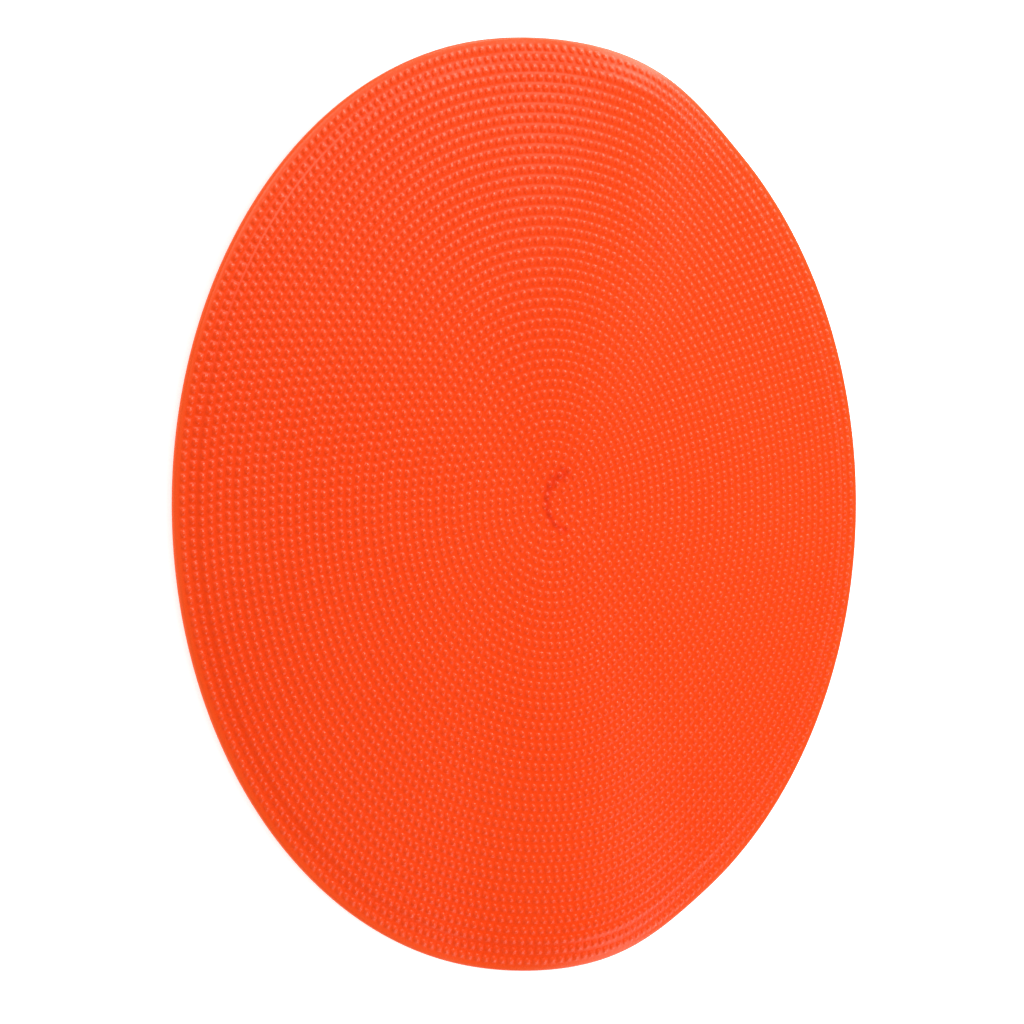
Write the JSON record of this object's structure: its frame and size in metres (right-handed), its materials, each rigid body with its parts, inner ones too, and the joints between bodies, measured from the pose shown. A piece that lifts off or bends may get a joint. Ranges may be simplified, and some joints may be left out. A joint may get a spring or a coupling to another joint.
{
  "type": "practice pad",
  "caption": "Thin round practice pad for drumsticks: a silicone skin of small domes in rings, bonded over a foam core and a grip backing, lying with two soft folds.",
  "frame": {"origin": "under the centre of the pad, on the plane that it rests on", "axes": "+Z out of the playing face; the two soft folds run close to the X axis, and the flat sides face +Y and -Y"},
  "size_m": [0.3048, 0.3048, 0.013],
  "materials": {
    "silicone": "satin orange silicone",
    "adhesive": "translucent adhesive film",
    "foam": "matt closed-cell foam",
    "rubber": "matt black rubber"
  },
  "bodies": {
    "root": {"grip_backing": "rubber", "backing_bond": "adhesive", "rebound_core": "foam", "skin_bond": "adhesive", "playing_skin": "silicone"}
  },
  "joints": []
}
